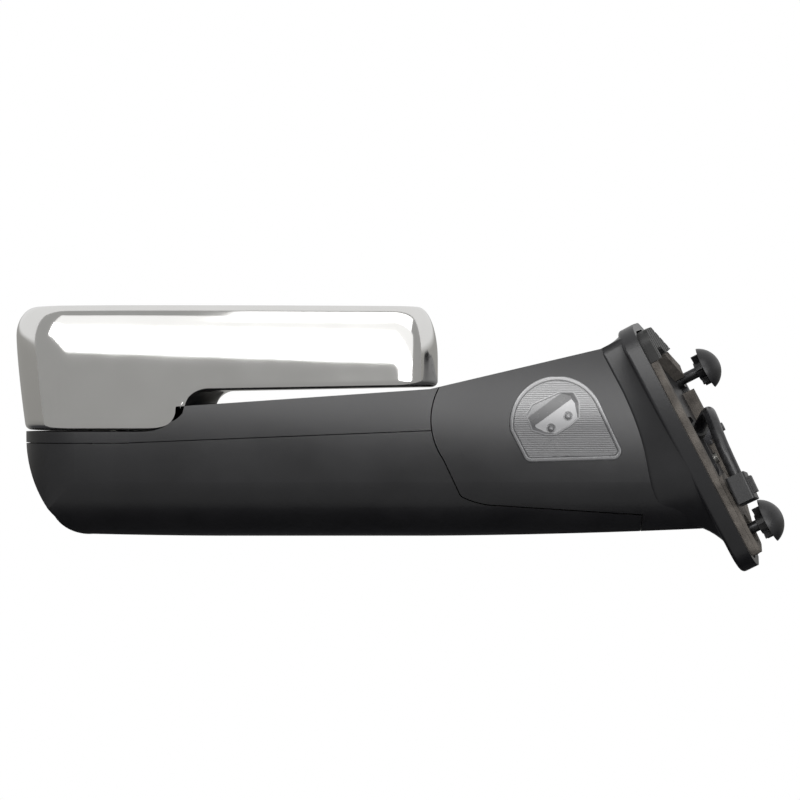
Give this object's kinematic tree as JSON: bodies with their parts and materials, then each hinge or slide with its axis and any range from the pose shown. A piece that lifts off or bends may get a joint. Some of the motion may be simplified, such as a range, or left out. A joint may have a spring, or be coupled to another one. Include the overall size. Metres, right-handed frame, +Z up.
{
  "type": "car side mirror",
  "caption": "Flip-up towing door mirror: plated head with main and spotter glasses, folding black arm, flanged base with door studs, wiring and puddle lamp.",
  "frame": {"origin": "centre of the two door studs' circle, on the flange's back plane", "axes": "+Z up, +X inboard along the arm towards the door, +Y forward; the glass faces -Y, and the head is stowed level"},
  "size_m": [0.5449, 0.1873, 0.2173],
  "materials": {
    "black_plastic": "fine moulded grain",
    "bright_plating": "bright plated",
    "cast_alloy": "as cast",
    "zinc_steel": "zinc plated",
    "mirror_glass": "silvered",
    "clear_lens": "clear, ribbed",
    "foam": "closed-cell foam",
    "soft_rubber": "satin",
    "grey_plastic": "moulded",
    "board": "solder mask",
    "white_plastic": "moulded",
    "tape": "wound vinyl tape",
    "motor_can": "drawn steel",
    "heater_foil": "printed foil"
  },
  "bodies": {
    "base": {"base_housing": "black_plastic", "base_bracket": "cast_alloy", "door_studs": "zinc_steel", "flange_gasket": "foam", "rear_seal": "soft_rubber", "foam_block": "foam", "locating_peg": "grey_plastic", "lamp_housing": "white_plastic", "lamp_lens": "clear_lens", "lamp_board": "board", "lamp_leds": "white_plastic", "base_screws": "zinc_steel", "fold_post": "zinc_steel", "fold_detent_ring": "zinc_steel", "fold_springs": "zinc_steel", "fold_retainer": "zinc_steel", "wire_harness": "tape", "harness_grommet": "soft_rubber", "harness_connector": "grey_plastic"},
    "arm": {"arm_front_cover": "black_plastic", "arm_rear_cover": "black_plastic", "arm_frame": "cast_alloy", "fold_bush": "grey_plastic", "fold_detent_plate": "zinc_steel", "flip_shaft": "zinc_steel", "flip_washer": "zinc_steel", "flip_springs": "zinc_steel", "flip_nut": "zinc_steel", "arm_screws": "zinc_steel"},
    "head": {"head_cover": "bright_plating", "head_bezel": "black_plastic", "head_frame": "grey_plastic", "flip_bush": "white_plastic", "actuator_housing": "grey_plastic", "actuator_cover": "grey_plastic", "pan_motor": "motor_can", "tilt_motor": "motor_can", "spotter_post": "grey_plastic", "head_screws": "zinc_steel"},
    "pan_yoke": {"gimbal_cross": "white_plastic"},
    "main_mirror": {"glass_carrier": "grey_plastic", "heater_pad": "heater_foil", "main_glass": "mirror_glass"},
    "pan_screw": {"pan_jackscrew": "white_plastic"},
    "tilt_screw": {"tilt_jackscrew": "white_plastic"},
    "spotter_yoke": {"spotter_cross": "white_plastic"},
    "spotter": {"spotter_carrier": "grey_plastic", "spotter_glass": "mirror_glass"},
    "cap_upper": {"stud_cap_upper": "soft_rubber"},
    "cap_lower": {"stud_cap_lower": "soft_rubber"}
  },
  "joints": [
    {"name": "arm_fold", "type": "hinge", "parent": "base", "child": "arm", "pos_m": [-0.15653, -0.025, -0.00592], "axis": [0, 0, 1], "range_deg": [0, 65]},
    {"name": "head_flip", "type": "hinge", "parent": "arm", "child": "head", "pos_m": [-0.43653, -0.025, -0.00192], "axis": [0, -1, 0], "range_deg": [0, 90]},
    {"name": "glass_pan", "type": "hinge", "parent": "head", "child": "pan_yoke", "pos_m": [-0.31553, -0.081, 0.04208], "axis": [0, 0, 1], "range_deg": [-7, 7]},
    {"name": "glass_tilt", "type": "hinge", "parent": "pan_yoke", "child": "main_mirror", "pos_m": [-0.31553, -0.081, 0.04208], "axis": [1, 0, 0], "range_deg": [-7, 7]},
    {"name": "pan_screw_travel", "type": "slide", "parent": "head", "child": "pan_screw", "axis": [0, 1, 0], "range_m": [-0.0045, 0.0045]},
    {"name": "tilt_screw_travel", "type": "slide", "parent": "head", "child": "tilt_screw", "axis": [0, -1, 0], "range_m": [-0.0045, 0.0045]},
    {"name": "spotter_pan", "type": "hinge", "parent": "head", "child": "spotter_yoke", "pos_m": [-0.44603, -0.083, 0.04208], "axis": [0, 0, 1], "range_deg": [-4, 4]},
    {"name": "spotter_tilt", "type": "hinge", "parent": "spotter_yoke", "child": "spotter", "pos_m": [-0.44603, -0.083, 0.04208], "axis": [1, 0, 0], "range_deg": [-4, 4]},
    {"name": "cap_upper_pull", "type": "slide", "parent": "base", "child": "cap_upper", "axis": [0.8591, -0.451, -0.2419], "range_m": [0, 0.03]},
    {"name": "cap_lower_pull", "type": "slide", "parent": "base", "child": "cap_lower", "axis": [0.8591, -0.451, -0.2419], "range_m": [0, 0.03]}
  ],
  "couplings": [
    {"joint": "pan_screw_travel", "follows": "glass_pan", "m_per_rad": 0.034},
    {"joint": "tilt_screw_travel", "follows": "glass_tilt", "m_per_rad": 0.034}
  ]
}
